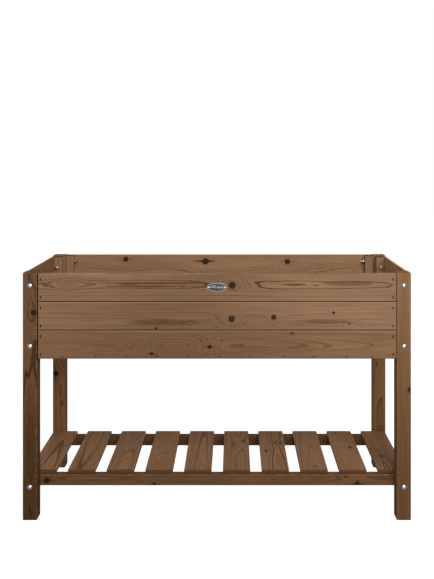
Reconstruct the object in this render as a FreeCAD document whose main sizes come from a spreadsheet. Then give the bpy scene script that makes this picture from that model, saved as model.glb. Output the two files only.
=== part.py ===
import FreeCAD, Part
import os
import re
import Sketcher

# Raised planter on legs: a stained pine box on four square posts, with a slatted
# shelf underneath, sold as panels that are bolted together at the corners.
# Millimetres. X runs along the box, Y from front to back, Z up. The origin is on
# the ground, under the middle of the box.

DIMENSIONS = [
    # The whole planter
    ("overall_length", 1190, "over the outer faces of the legs"),
    ("overall_depth", 440, "over the outer faces of the legs"),
    ("overall_height", 758, "ground to the top of the legs"),
    # Legs
    ("leg_width", 44, "square post"),
    ("leg_edge_radius", 3, "rounded long edges"),
    ("leg_top_chamfer", 0.8, "eased rim of the sawn top"),
    ("leg_foot_chamfer", 1.5, "eased rim of the sole"),
    # Tongue and groove boards of the four panels
    ("panel_recess", 1, "panel face behind the leg face"),
    ("panel_end_gap", 1, "between a board end and its leg"),
    ("panel_top_drop", 1, "panel top below the leg top"),
    ("board_thick", 9, "panel board"),
    ("board_cover", 87.4, "height that one board covers"),
    ("vee_deep", 2.5, "chamfer on the upper edge of a board"),
    ("vee_tall", 3.5, "chamfer on the upper edge of a board"),
    ("lip_chamfer", 1, "chamfer on the lower edge of a board"),
    ("tongue_front", 3, "board face to the tongue"),
    ("tongue_thick", 3, "tongue"),
    ("tongue_tall", 5, "tongue"),
    ("tongue_play", 0.2, "room round the tongue in its groove"),
    ("rim_radius", 2.5, "rounded outer top edge of a panel"),
    # Battens, ledgers and floor
    ("batten_width", 28, "square corner batten"),
    ("batten_drop", 0.5, "batten top below the panel top"),
    ("batten_radius", 1.5, "rounded long edges"),
    ("ledger_tall", 18, "floor ledger"),
    ("ledger_deep", 24, "floor ledger"),
    ("ledger_lift", 1, "ledger above the panel's lower edge"),
    ("ledger_play", 1, "between a ledger end and a batten"),
    ("floor_board_wide", 88, "floor board"),
    ("floor_board_thick", 10, "floor board"),
    ("floor_board_radius", 1, "rounded long edges"),
    ("floor_play", 1, "round the floor and its notches"),
    # Shelf
    ("rail_tall", 34, "shelf rail"),
    ("rail_deep", 24, "shelf rail"),
    ("rail_bottom", 88, "ground to the underside of a rail"),
    ("rail_inset", 3, "rail end inside the leg face"),
    ("rail_radius", 2, "rounded long edges"),
    ("slat_wide", 86, "shelf slat"),
    ("slat_thick", 13, "shelf slat"),
    ("slat_radius", 3, "rounded edges and corners"),
    ("slat_inset", 5.5, "outermost slat inside the leg face"),
    ("slat_setback", 8, "slat end behind the rail face"),
    # Carriage bolts, nuts and washers, M6
    ("bolt_inset", 21, "bolt axis from the leg's outer face"),
    ("bolt_thick", 6, "shank"),
    ("bolt_hole", 6.6, "hole through the wood"),
    ("bolt_head_wide", 16.5, "domed head"),
    ("bolt_head_tall", 3.6, "domed head"),
    ("bolt_neck_long", 4, "square neck under the head"),
    ("bolt_neck_room", 0.2, "play of the neck in its socket"),
    ("bolt_tip_long", 1, "chamfered tip"),
    ("bolt_tip_wide", 4.8, "chamfered tip"),
    ("short_bolt", 80, "under the head"),
    ("long_bolt", 85, "under the head"),
    ("side_bolt_high", 718, "upper bolt of a side panel"),
    ("side_bolt_low", 532, "lower bolt of a side panel"),
    ("long_bolt_high", 734, "upper bolt of a long panel"),
    ("long_bolt_low", 546, "lower bolt of a long panel"),
    ("shelf_bolt", 100, "bolt of a shelf rail"),
    ("nut_wide", 10, "across flats"),
    ("nut_tall", 5, "nut"),
    ("nut_crown", 9.8, "flat end face, inside the chamfer"),
    ("nut_chamfer_angle", 30, "chamfer of the corners"),
    ("nut_bore", 6.2, "nut"),
    ("washer_wide", 12, "washer"),
    ("washer_bore", 6.4, "washer"),
    ("washer_thick", 1.6, "washer"),
    # Staples, nails and name plate
    ("staple_wide", 7, "crown"),
    ("staple_wire", 1.1, "square wire"),
    ("staple_long", 15, "prongs"),
    ("staple_sunk", 1.2, "crown below the board face"),
    ("staple_slot_wide", 7.6, "slot that the staple cuts"),
    ("staple_slot_thick", 2.2, "slot that the staple cuts"),
    ("staple_slot_deep", 7.5, "slot in the batten behind the board"),
    ("staple_inset", 10, "staple from a board's end"),
    ("staple_low", 13, "staple above a board's lower edge"),
    ("staple_high", 68, "staple above a board's lower edge"),
    ("ledger_staple_up", 6.5, "staple row above the panel's lower edge"),
    ("ledger_staple_first", 122.5, "first staple of the row from the leg's outer face"),
    ("ledger_staple_pitch", 95, "staples of the row"),
    ("nail_thick", 2, "shank"),
    ("nail_head_wide", 3.6, "head"),
    ("nail_head_tall", 1, "head"),
    ("nail_long", 30, "whole nail"),
    ("nail_sunk", 0.5, "head below the slat"),
    ("nail_hole", 2.4, "hole that the nail cuts"),
    ("nail_head_hole", 4, "sinking for the head"),
    ("nail_edge", 20, "nail from a slat's long edge"),
    ("nail_end", 8, "nail from a slat's end"),
    ("nail_bite", 20, "hole in the rail"),
    ("badge_wide", 62, "oval plate"),
    ("badge_tall", 27, "oval plate"),
    ("badge_thick", 1, "oval plate"),
    ("badge_centre_up", 714, "ground to the middle of the plate"),
    ("badge_pin_offset", 25, "pin from the middle of the plate"),
    ("badge_pin_thick", 1.6, "pin"),
    ("badge_pin_hole", 1.9, "hole for a pin"),
    ("badge_pin_long", 8, "pin below the plate's face"),
    ("badge_pin_head_wide", 3.4, "pin head"),
    ("badge_pin_head_tall", 0.8, "pin head"),
]

doc = FreeCAD.newDocument("RaisedPlanter")
sheet = doc.addObject("Spreadsheet::Sheet", "Dimensions")
for row, (alias, size, note) in enumerate(DIMENSIONS, start=1):
    sheet.set("A%d" % row, alias)
    sheet.set("B%d" % row, str(size))
    sheet.setAlias("B%d" % row, alias)
    sheet.set("C%d" % row, note)
doc.recompute()

# Two places nearer than this are the same.
TOLERANCE = 1e-6
ALIASES = "|".join(sorted((entry[0] for entry in DIMENSIONS), key=len, reverse=True))
sub_parts = []


# ---------------------------------------------------------------- sheet and sketches

def formula(text):
    """The same formula, with every alias read from the sheet."""
    return re.sub(r"\b(%s)\b" % ALIASES, r"Dimensions.\1", str(text))


def bind(feature, **sizes):
    """Drive properties of a feature from formulas on the sheet's aliases."""
    for name, text in sizes.items():
        feature.setExpression(name, formula(text))


def set_place(piece, x, y, z, rotation=FreeCAD.Rotation()):
    """Put a piece at x, y, z, given as formulas, turned by a rotation."""
    piece.Placement = FreeCAD.Placement(FreeCAD.Vector(), rotation)
    for axis, text in (("x", x), ("y", y), ("z", z)):
        piece.setExpression("Placement.Base." + axis, formula(text))


def add_sketch(body, name, role, offset=None):
    """A sketch on one of the body's own planes, lifted by an offset."""
    sketch = body.newObject("Sketcher::SketchObject", body.Name + "_" + name)
    plane = [item for item in body.Origin.OriginFeatures if item.Role == role][0]
    sketch.AttachmentSupport = [(plane, "")]
    sketch.MapMode = "FlatFace"
    if offset:
        sketch.setExpression("AttachmentOffset.Base.z", formula(offset))
    return sketch


def fix_point(sketch, curve, end, x, y):
    """Hold one point of a sketch at x, y, given as formulas."""
    axes = (("DistanceX", x, -2), ("DistanceY", y, -1))
    for kind, text, axis in axes:
        if text == "0":
            sketch.addConstraint(Sketcher.Constraint("PointOnObject", curve, end, axis))
            continue
        index = sketch.addConstraint(Sketcher.Constraint(kind, -1, 1, curve, end, 1.0))
        sketch.setExpression("Constraints[%d]" % index, formula(text))


def draw_outline(sketch, corners):
    """A closed outline of straight lines through corners given as formulas."""
    count = len(corners)
    rough = [FreeCAD.Vector(5.0 * i, 7.0 * i * i, 0) for i in range(count)]
    first = sketch.GeometryCount
    for i in range(count):
        sketch.addGeometry(Part.LineSegment(rough[i], rough[(i + 1) % count]), False)
    for i in range(count):
        following = first + (i + 1) % count
        sketch.addConstraint(Sketcher.Constraint("Coincident", first + i, 2, following, 1))
    for i, (x, y) in enumerate(corners):
        fix_point(sketch, first + i, 1, x, y)


def draw_rectangle(sketch, left, low, wide, tall):
    """A rectangle from its lower left corner, width and height."""
    start = sketch.GeometryCount
    corners = [(0, 0), (1, 0), (1, 1), (0, 1)]
    rough = [FreeCAD.Vector(x, y, 0) for x, y in corners]
    for i in range(4):
        sketch.addGeometry(Part.LineSegment(rough[i], rough[(i + 1) % 4]), False)
    for i in range(4):
        following = start + (i + 1) % 4
        sketch.addConstraint(Sketcher.Constraint("Coincident", start + i, 2, following, 1))
        level = "Vertical" if i % 2 else "Horizontal"
        sketch.addConstraint(Sketcher.Constraint(level, start + i))
    fix_point(sketch, start, 1, left, low)
    sides = (("DistanceX", start, wide), ("DistanceY", start + 1, tall))
    for kind, line, text in sides:
        index = sketch.addConstraint(Sketcher.Constraint(kind, line, 1, line, 2, 1.0))
        sketch.setExpression("Constraints[%d]" % index, formula(text))


def draw_slot(sketch, x, y, wide, tall):
    """A rectangle about its middle."""
    draw_rectangle(sketch, "%s - %s / 2" % (x, wide), "%s - %s / 2" % (y, tall), wide, tall)


def draw_circle(sketch, x, y, wide):
    """A circle from its middle and its diameter."""
    circle = Part.Circle(FreeCAD.Vector(), FreeCAD.Vector(0, 0, 1), 1.0)
    number = sketch.addGeometry(circle, False)
    fix_point(sketch, number, 3, x, y)
    index = sketch.addConstraint(Sketcher.Constraint("Diameter", number, 2.0))
    sketch.setExpression("Constraints[%d]" % index, formula(wide))


# ---------------------------------------------------------------- features

def add_body(node):
    """A body that becomes one sub-part of the planter."""
    body = doc.addObject("PartDesign::Body", node)
    body.Label = node
    sub_parts.append(body)
    return body


def pad(body, sketch, length):
    """Raise a sketch into a solid."""
    feature = body.newObject("PartDesign::Pad", body.Name + "_stock")
    feature.Profile = sketch
    bind(feature, Length=length)
    doc.recompute()
    return feature


def cut(body, sketch, depth=None, forwards=False):
    """Cut a sketch into the body, right through when it has no depth."""
    before = body.Tip.Shape.Volume
    feature = body.newObject("PartDesign::Pocket", sketch.Name + "_cut")
    feature.Profile = sketch
    feature.Reversed = forwards
    if depth:
        bind(feature, Length=depth)
    else:
        feature.Type = "ThroughAll"
    doc.recompute()
    if not feature.Shape.Volume < before:
        raise RuntimeError("%s removes nothing" % feature.Name)
    return feature


def edges_where(feature, wanted):
    """Names of the straight edges whose two ends pass a test."""
    names = []
    for number, edge in enumerate(feature.Shape.Edges, start=1):
        if len(edge.Vertexes) == 2 and wanted(edge.Vertexes[0].Point, edge.Vertexes[1].Point):
            names.append("Edge%d" % number)
    return names


def along(axis):
    """A test for edges that run along one axis."""
    others = [name for name in "xyz" if name != axis]

    def wanted(start, end):
        level = all(abs(getattr(start, name) - getattr(end, name)) < TOLERANCE for name in others)
        return level and abs(getattr(start, axis) - getattr(end, axis)) > TOLERANCE
    return wanted


def round_edges(body, feature, edges, radius):
    """Round some edges of the body's last feature."""
    rounded = body.newObject("PartDesign::Fillet", feature.Name + "_round")
    rounded.Base = (feature, edges)
    bind(rounded, Radius=radius)
    doc.recompute()
    return rounded


# ---------------------------------------------------------------- legs

FRONT_OR_LEFT = FreeCAD.Rotation()
BACK_OR_RIGHT = FreeCAD.Rotation(FreeCAD.Vector(0, 0, 1), 180)
SIDE_BOLTS = ("side_bolt_high", "side_bolt_low", "shelf_bolt")
LONG_BOLTS = ("long_bolt_high", "long_bolt_low")


def add_leg(node, outer_left, rotation, x, y):
    """A square post: y = 0 is its outer face, and x = 0 too when outer_left."""
    body = add_body(node)
    section = add_sketch(body, "section", "XY_Plane")
    draw_rectangle(section, "0", "0", "leg_width", "leg_width")
    stock = pad(body, section, "overall_height")
    eased = round_edges(body, stock, edges_where(stock, along("z")), "leg_edge_radius")
    top = max(vertex.Z for vertex in eased.Shape.Vertexes)
    rim = body.newObject("PartDesign::Chamfer", node + "_rim")
    rim.Base = (eased, edges_where(eased, lambda a, b: min(a.z, b.z) > top - TOLERANCE))
    bind(rim, Size="leg_top_chamfer")
    doc.recompute()

    sole = body.newObject("PartDesign::Chamfer", node + "_sole")
    sole.Base = (rim, edges_where(rim, lambda a, b: max(a.z, b.z) < TOLERANCE))
    bind(sole, Size="leg_foot_chamfer")
    doc.recompute()

    across = "bolt_inset" if outer_left else "(leg_width - bolt_inset)"
    side_holes = add_sketch(body, "side_holes", "XZ_Plane")
    side_necks = add_sketch(body, "side_necks", "XZ_Plane")
    for height in SIDE_BOLTS:
        draw_circle(side_holes, across, height, "bolt_hole")
        draw_slot(side_necks, across, height, "(bolt_thick + bolt_neck_room)",
                  "(bolt_thick + bolt_neck_room)")
    cut(body, side_holes)
    cut(body, side_necks, "bolt_neck_long + bolt_neck_room")

    long_holes = add_sketch(body, "long_holes", "YZ_Plane")
    outer_face = None if outer_left else "leg_width"
    long_necks = add_sketch(body, "long_necks", "YZ_Plane", outer_face)
    for height in LONG_BOLTS:
        draw_circle(long_holes, "bolt_inset", height, "bolt_hole")
        draw_slot(long_necks, "bolt_inset", height, "(bolt_thick + bolt_neck_room)",
                  "(bolt_thick + bolt_neck_room)")
    cut(body, long_holes, forwards=True)
    cut(body, long_necks, "bolt_neck_long + bolt_neck_room", forwards=outer_left)
    set_place(body, x, y, "0", rotation)


HALF_LENGTH = "overall_length / 2"
HALF_DEPTH = "overall_depth / 2"
add_leg("leg_front_left", True, FRONT_OR_LEFT, "-" + HALF_LENGTH, "-" + HALF_DEPTH)
add_leg("leg_front_right", False, FRONT_OR_LEFT, HALF_LENGTH + " - leg_width", "-" + HALF_DEPTH)
add_leg("leg_back_right", True, BACK_OR_RIGHT, HALF_LENGTH, HALF_DEPTH)
add_leg("leg_back_left", False, BACK_OR_RIGHT, "leg_width - " + HALF_LENGTH, HALF_DEPTH)


# ---------------------------------------------------------------- panel boards

PANEL_TOP = "(overall_height - panel_top_drop)"
PANEL_BOTTOM = "(overall_height - panel_top_drop - 3 * board_cover)"
LONG_BOARD = "(overall_length - 2 * leg_width - 2 * panel_end_gap)"
SIDE_BOARD = "(overall_depth - 2 * leg_width - 2 * panel_end_gap)"
BOARD_ROWS = ("bottom", "middle", "top")

# A row of staples along the lower edge of the front panel, driven by hand: how far
# each one strays from even spacing, and whole pitches from the first.
STAPLE_STRAY = (0, 6, 3, 2, 2, 4, 4, 14, 10, 14, -1)


def ledger_staple_places():
    """Staples of the ledger row, from the leg's outer face."""
    return ["ledger_staple_first + %d * ledger_staple_pitch + %d" % (i, stray)
            for i, stray in enumerate(STAPLE_STRAY)]


def board_outline(row):
    """The section of a board, outer face at y = 0, as corners (y, z)."""
    groove_front = "tongue_front - tongue_play"
    groove_back = "tongue_front + tongue_thick + tongue_play"
    groove_top = "tongue_tall + tongue_play * 3"
    if row == "bottom":
        corners = [("0", "0"), ("board_thick", "0")]
    else:
        corners = [("0", "lip_chamfer"), ("lip_chamfer", "0"), (groove_front, "0"),
                   (groove_front, groove_top), (groove_back, groove_top), (groove_back, "0"),
                   ("board_thick", "0")]
    if row == "top":
        corners += [("board_thick", "board_cover"), ("0", "board_cover")]
    else:
        tongue_back = "tongue_front + tongue_thick"
        tongue_top = "board_cover + tongue_tall"
        corners += [("board_thick", "board_cover"), (tongue_back, "board_cover"),
                    (tongue_back, tongue_top), ("tongue_front", tongue_top),
                    ("tongue_front", "board_cover"), ("vee_deep", "board_cover"),
                    ("0", "board_cover - vee_tall")]
    return corners


def add_board(node, row, length, has_ledger, rotation, x, y):
    """One tongue and groove board: x along it, y = 0 its outer face."""
    body = add_body(node)
    section = add_sketch(body, "section", "YZ_Plane")
    draw_outline(section, board_outline(row))
    stock = pad(body, section, length)
    if row == "top":
        top = stock.Shape.BoundBox.ZMax
        rim = edges_where(stock, lambda a, b: along("x")(a, b) and a.z > top - TOLERANCE
                          and a.y < TOLERANCE)
        round_edges(body, stock, rim, "rim_radius")
    slots = add_sketch(body, "slots", "XZ_Plane")
    for place in ("staple_inset", "%s - staple_inset" % length):
        for height in ("staple_low", "staple_high"):
            draw_slot(slots, "(%s)" % place, height, "staple_slot_thick", "staple_slot_wide")
    if has_ledger and row == "bottom":
        for place in ledger_staple_places():
            draw_slot(slots, "(%s - leg_width - panel_end_gap)" % place, "ledger_staple_up",
                      "staple_slot_wide", "staple_slot_thick")
    cut(body, slots)
    if node == "front_board_top":
        pin_holes = add_sketch(body, "pin_holes", "XZ_Plane")
        for side in ("+", "-"):
            across = "%s / 2 %s badge_pin_offset" % (LONG_BOARD, side)
            draw_circle(pin_holes, across, "badge_centre_up - %s + board_cover" % PANEL_TOP,
                        "badge_pin_hole")
        cut(body, pin_holes, "badge_pin_long + panel_recess")
    level = BOARD_ROWS.index(row)
    set_place(body, x, y, "%s + %d * board_cover" % (PANEL_BOTTOM, level), rotation)


FACE_RIGHT = FreeCAD.Rotation(FreeCAD.Vector(0, 0, 1), 90)
FACE_LEFT = FreeCAD.Rotation(FreeCAD.Vector(0, 0, 1), -90)
LONG_FACE = "(overall_depth / 2 - panel_recess)"
SIDE_FACE = "(overall_length / 2 - panel_recess)"
for row in BOARD_ROWS:
    add_board("front_board_" + row, row, LONG_BOARD, True, FRONT_OR_LEFT,
              "-%s / 2" % LONG_BOARD, "-" + LONG_FACE)
    add_board("back_board_" + row, row, LONG_BOARD, True, BACK_OR_RIGHT,
              "%s / 2" % LONG_BOARD, LONG_FACE)
    add_board("left_board_" + row, row, SIDE_BOARD, False, FACE_LEFT,
              "-" + SIDE_FACE, "%s / 2" % SIDE_BOARD)
    add_board("right_board_" + row, row, SIDE_BOARD, False, FACE_RIGHT,
              SIDE_FACE, "-%s / 2" % SIDE_BOARD)


# ---------------------------------------------------------------- corner battens

PANEL_BACK = "(panel_recess + board_thick)"
BATTEN_TALL = "(3 * board_cover - batten_drop)"


def add_batten(node, bolts, bolts_along_x, leg_side_low, rotation, x, y):
    """A square batten behind a panel's end, from its corner on the panel's back.

    The panel lies on its y = 0 face when the bolts run along x, and on its x = 0
    face when they run along y. leg_side_low says that the leg is at the low end of
    the other axis.
    """
    body = add_body(node)
    section = add_sketch(body, "section", "XY_Plane")
    draw_rectangle(section, "0", "0", "batten_width", "batten_width")
    stock = pad(body, section, BATTEN_TALL)
    round_edges(body, stock, edges_where(stock, along("z")), "batten_radius")
    bolt_plane = "YZ_Plane" if bolts_along_x else "XZ_Plane"
    staple_plane = "XZ_Plane" if bolts_along_x else "YZ_Plane"
    holes = add_sketch(body, "holes", bolt_plane)
    for height in bolts:
        draw_circle(holes, "bolt_inset - %s" % PANEL_BACK, "%s - %s" % (height, PANEL_BOTTOM),
                    "bolt_hole")
    cut(body, holes, forwards=bolts_along_x)
    slots = add_sketch(body, "slots", staple_plane)
    across = "(staple_inset + panel_end_gap)"
    if not leg_side_low:
        across = "(batten_width - staple_inset - panel_end_gap)"
    for level in range(len(BOARD_ROWS)):
        for height in ("staple_low", "staple_high"):
            draw_slot(slots, across, "(%d * board_cover + %s)" % (level, height),
                      "staple_slot_thick", "staple_slot_wide")
    cut(body, slots, "staple_slot_deep", forwards=not bolts_along_x)
    set_place(body, x, y, PANEL_BOTTOM, rotation)


INNER_X = "(overall_length / 2 - leg_width)"
INNER_Y = "(overall_depth / 2 - leg_width)"
LONG_BACK = "(overall_depth / 2 - %s)" % PANEL_BACK
SIDE_BACK = "(overall_length / 2 - %s)" % PANEL_BACK
SIDE_HEIGHTS = ("side_bolt_high", "side_bolt_low")
add_batten("front_batten_left", LONG_BOLTS, True, True, FRONT_OR_LEFT,
           "-" + INNER_X, "-" + LONG_BACK)
add_batten("front_batten_right", LONG_BOLTS, True, False, FRONT_OR_LEFT,
           INNER_X + " - batten_width", "-" + LONG_BACK)
add_batten("back_batten_right", LONG_BOLTS, True, True, BACK_OR_RIGHT, INNER_X, LONG_BACK)
add_batten("back_batten_left", LONG_BOLTS, True, False, BACK_OR_RIGHT,
           "batten_width - " + INNER_X, LONG_BACK)
add_batten("left_batten_front", SIDE_HEIGHTS, False, True, FRONT_OR_LEFT,
           "-" + SIDE_BACK, "-" + INNER_Y)
add_batten("left_batten_back", SIDE_HEIGHTS, False, False, FRONT_OR_LEFT,
           "-" + SIDE_BACK, INNER_Y + " - batten_width")
add_batten("right_batten_back", SIDE_HEIGHTS, False, True, BACK_OR_RIGHT, SIDE_BACK, INNER_Y)
add_batten("right_batten_front", SIDE_HEIGHTS, False, False, BACK_OR_RIGHT,
           SIDE_BACK, "batten_width - " + INNER_Y)


# ---------------------------------------------------------------- floor

LEDGER_LONG = "(overall_length - 2 * leg_width - 2 * batten_width - 2 * ledger_play)"
LEDGER_BOTTOM = "(%s + ledger_lift)" % PANEL_BOTTOM


def add_ledger(node, rotation, x, y):
    """A strip along the foot of a long panel, which the floor boards lie on."""
    body = add_body(node)
    section = add_sketch(body, "section", "YZ_Plane")
    draw_rectangle(section, "0", "0", "ledger_deep", "ledger_tall")
    stock = pad(body, section, LEDGER_LONG)
    round_edges(body, stock, edges_where(stock, along("x")), "batten_radius")
    slots = add_sketch(body, "slots", "XZ_Plane")
    for place in ledger_staple_places():
        draw_slot(slots, "(%s - leg_width - batten_width - ledger_play)" % place,
                  "(ledger_staple_up - ledger_lift)", "staple_slot_wide", "staple_slot_thick")
    cut(body, slots, "staple_slot_deep")
    set_place(body, x, y, LEDGER_BOTTOM, rotation)


add_ledger("front_floor_ledger", FRONT_OR_LEFT, "-%s / 2" % LEDGER_LONG, "-" + LONG_BACK)
add_ledger("back_floor_ledger", BACK_OR_RIGHT, "%s / 2" % LEDGER_LONG, LONG_BACK)

FLOOR_BOARDS = 12
FLOOR_LONG = "(2 * %s - 2 * floor_play)" % LONG_BACK
FLOOR_SPAN = "(2 * %s - 2 * floor_play)" % SIDE_BACK
FLOOR_PITCH = "((%s - floor_board_wide) / %d)" % (FLOOR_SPAN, FLOOR_BOARDS - 1)
FLOOR_NOTCH = "(leg_width + batten_width - %s)" % PANEL_BACK
FLOOR_LEG_NOTCH = "(leg_width - %s)" % PANEL_BACK


def add_floor_board(number):
    """A floor board from front to back; the outermost two are notched round the corners."""
    body = add_body("floor_board_%02d" % number)
    section = add_sketch(body, "section", "XY_Plane")
    if number == 1:
        outline = notched_outline("0", "floor_board_wide", "")
    elif number == FLOOR_BOARDS:
        outline = notched_outline("floor_board_wide", "0", "floor_board_wide - ")
    else:
        outline = [("0", "0"), ("floor_board_wide", "0"), ("floor_board_wide", FLOOR_LONG),
                   ("0", FLOOR_LONG)]
    draw_outline(section, outline)
    stock = pad(body, section, "floor_board_thick")
    round_edges(body, stock, edges_where(stock, along("y")), "floor_board_radius")
    left = "-%s / 2 + %d * %s" % (FLOOR_SPAN, number - 1, FLOOR_PITCH)
    set_place(body, left, "-%s / 2" % FLOOR_LONG, LEDGER_BOTTOM + " + ledger_tall")


def notched_outline(outer, inner, from_outer):
    """A board's outline, stepped round a leg and its two battens at both ends."""
    steps = [("batten_width", FLOOR_NOTCH), ("batten_width", FLOOR_LEG_NOTCH),
             (FLOOR_LEG_NOTCH, FLOOR_LEG_NOTCH), (FLOOR_LEG_NOTCH, "batten_width"),
             (FLOOR_NOTCH, "batten_width"), (FLOOR_NOTCH, "0")]
    front = [(outer, FLOOR_NOTCH)] + [(from_outer + across, up) for across, up in steps]
    back = [(across, "%s - %s" % (FLOOR_LONG, up)) for across, up in reversed(front)]
    return front + [(inner, "0"), (inner, FLOOR_LONG)] + back


for number in range(1, FLOOR_BOARDS + 1):
    add_floor_board(number)


# ---------------------------------------------------------------- shelf

SLATS = 10
SLAT_LONG = "(overall_depth - 2 * leg_width - 2 * slat_setback)"
SLAT_PITCH = "((overall_length - 2 * slat_inset - slat_wide) / %d)" % (SLATS - 1)
RAIL_LONG = "(overall_length - 2 * rail_inset)"


def add_rail(node, rotation, x, y):
    """A shelf rail behind two legs: y = 0 is the face against the legs."""
    body = add_body(node)
    section = add_sketch(body, "section", "YZ_Plane")
    draw_rectangle(section, "0", "0", "rail_deep", "rail_tall")
    stock = pad(body, section, RAIL_LONG)
    round_edges(body, stock, edges_where(stock, along("x")), "rail_radius")
    bolt_holes = add_sketch(body, "bolt_holes", "XZ_Plane")
    for across in ("bolt_inset - rail_inset", "%s - bolt_inset + rail_inset" % RAIL_LONG):
        draw_circle(bolt_holes, across, "shelf_bolt - rail_bottom", "bolt_hole")
    cut(body, bolt_holes)
    nail_holes = add_sketch(body, "nail_holes", "XY_Plane", "rail_tall")
    for slat in range(SLATS):
        for edge in ("nail_edge", "slat_wide - nail_edge"):
            across = "slat_inset - rail_inset + %d * %s + %s" % (slat, SLAT_PITCH, edge)
            draw_circle(nail_holes, across, "slat_setback + nail_end", "nail_hole")
    cut(body, nail_holes, "nail_bite")
    set_place(body, x, y, "rail_bottom", rotation)


def add_slat(number):
    """A shelf slat from front to back, nailed to both rails."""
    body = add_body("shelf_slat_%02d" % number)
    section = add_sketch(body, "section", "XZ_Plane")
    draw_rectangle(section, "0", "0", "slat_wide", "slat_thick")
    stock = pad(body, section, SLAT_LONG)
    round_edges(body, stock, edges_where(stock, lambda start, end: True), "slat_radius")
    holes = add_sketch(body, "holes", "XY_Plane")
    sinkings = add_sketch(body, "sinkings", "XY_Plane", "slat_thick")
    for across in ("nail_edge", "slat_wide - nail_edge"):
        for up in ("-nail_end", "nail_end - %s" % SLAT_LONG):
            draw_circle(holes, across, up, "nail_hole")
            draw_circle(sinkings, across, up, "nail_head_hole")
    cut(body, holes, forwards=True)
    cut(body, sinkings, "nail_head_tall + nail_sunk")
    left = "-overall_length / 2 + slat_inset + %d * %s" % (number - 1, SLAT_PITCH)
    set_place(body, left, SLAT_LONG + " / 2", "rail_bottom + rail_tall")


add_rail("front_shelf_rail", FRONT_OR_LEFT, "-%s / 2" % RAIL_LONG, "-" + INNER_Y)
add_rail("back_shelf_rail", BACK_OR_RIGHT, "%s / 2" % RAIL_LONG, INNER_Y)
for number in range(1, SLATS + 1):
    add_slat(number)


# ---------------------------------------------------------------- fastener patterns

def add_shape(kind, name, **sizes):
    """A plain solid with its sizes bound to the sheet."""
    solid = doc.addObject(kind, name)
    bind(solid, **sizes)
    return solid


def add_box(name, wide, deep, tall, low):
    """A box centred on the z axis, from a height upwards."""
    box = add_shape("Part::Box", name, Length=wide, Width=deep, Height=tall)
    set_place(box, "-(%s) / 2" % wide, "-(%s) / 2" % deep, low)
    return box


def join(name, pieces):
    """Several solids as one."""
    joined = doc.addObject("Part::MultiFuse", name)
    joined.Shapes = pieces
    return joined


def bore(name, stock, wide, tall):
    """A solid with a round hole along the z axis."""
    drill = add_shape("Part::Cylinder", name + "_drill", Radius="%s / 2" % wide, Height=tall)
    bored = doc.addObject("Part::Cut", name)
    bored.Base = stock
    bored.Tool = drill
    return bored


def carriage_bolt(name, length):
    """A domed bolt with a square neck; z = 0 is under its head, and the shank points up."""
    dome_radius = "((bolt_head_wide / 2)^2 + bolt_head_tall^2) / (2 * bolt_head_tall)"
    dome = add_shape("Part::Sphere", name + "_head", Radius=dome_radius)
    cap = "(asin((%s - bolt_head_tall) / (%s)))" % (dome_radius, dome_radius)
    bind(dome, Angle1=cap)
    dome.Placement = FreeCAD.Placement(FreeCAD.Vector(),
                                       FreeCAD.Rotation(FreeCAD.Vector(1, 0, 0), 180))
    dome.setExpression("Placement.Base.z", formula("%s - bolt_head_tall" % dome_radius))
    neck = add_box(name + "_neck", "bolt_thick", "bolt_thick", "bolt_neck_long", "0")
    shank = add_shape("Part::Cylinder", name + "_shank", Radius="bolt_thick / 2",
                      Height="%s - bolt_tip_long" % length)
    tip = add_shape("Part::Cone", name + "_tip", Radius1="bolt_thick / 2",
                    Radius2="bolt_tip_wide / 2", Height="bolt_tip_long")
    set_place(tip, "0", "0", "%s - bolt_tip_long" % length)
    return join(name, [dome, neck, shank, tip])


def staple_pattern(name):
    """A staple, its crown along x at z = 0 and its prongs pointing up."""
    crown = add_box(name + "_crown", "staple_wide", "staple_wire", "staple_wire", "0")
    pieces = [crown]
    for side in ("+", "-"):
        prong = add_shape("Part::Box", name + "_prong", Length="staple_wire",
                          Width="staple_wire", Height="staple_long")
        middle = "%s(staple_wide - staple_wire) / 2" % side
        set_place(prong, "%s - staple_wire / 2" % middle, "-staple_wire / 2", "0")
        pieces.append(prong)
    return join(name, pieces)


def headed_pin(name, head_wide, head_tall, thick, length):
    """A nail or pin, the top of its head at z = 0 and its shank pointing up."""
    head = add_shape("Part::Cylinder", name + "_head", Radius="%s / 2" % head_wide,
                     Height=head_tall)
    shank = add_shape("Part::Cylinder", name + "_shank", Radius="%s / 2" % thick, Height=length)
    return join(name, [head, shank])


def hexagon_nut(name):
    """A nut standing on z = 0."""
    hexagon = add_shape("Part::Prism", name + "_hexagon",
                        Circumradius="nut_wide / 2 / cos(30)", Height="nut_tall")
    hexagon.Polygon = 6
    narrow = "nut_crown / 2"
    flared = "nut_crown / 2 + nut_tall / tan(nut_chamfer_angle)"
    lower = add_shape("Part::Cone", name + "_lower_chamfer", Radius1=narrow, Radius2=flared,
                      Height="nut_tall")
    upper = add_shape("Part::Cone", name + "_upper_chamfer", Radius1=flared, Radius2=narrow,
                      Height="nut_tall")
    turned = doc.addObject("Part::MultiCommon", name + "_turned")
    turned.Shapes = [hexagon, lower, upper]
    return bore(name, turned, "nut_bore", "nut_tall")


def flat_washer(name):
    """A washer lying on z = 0."""
    disc = add_shape("Part::Cylinder", name + "_disc", Radius="washer_wide / 2",
                     Height="washer_thick")
    return bore(name, disc, "washer_bore", "washer_thick")


def add_group(node, copies):
    """One sub-part of several like fasteners: copies are pattern, x, y, z, rotation."""
    links = []
    for pattern, x, y, z, rotation in copies:
        link = doc.addObject("App::Link", node + "_copy")
        link.LinkedObject = pattern
        set_place(link, x, y, z, rotation)
        links.append(link)
    group = doc.addObject("Part::Compound", node)
    group.Label = node
    group.Links = links
    sub_parts.append(group)


# ---------------------------------------------------------------- bolts, nuts, washers

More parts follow.
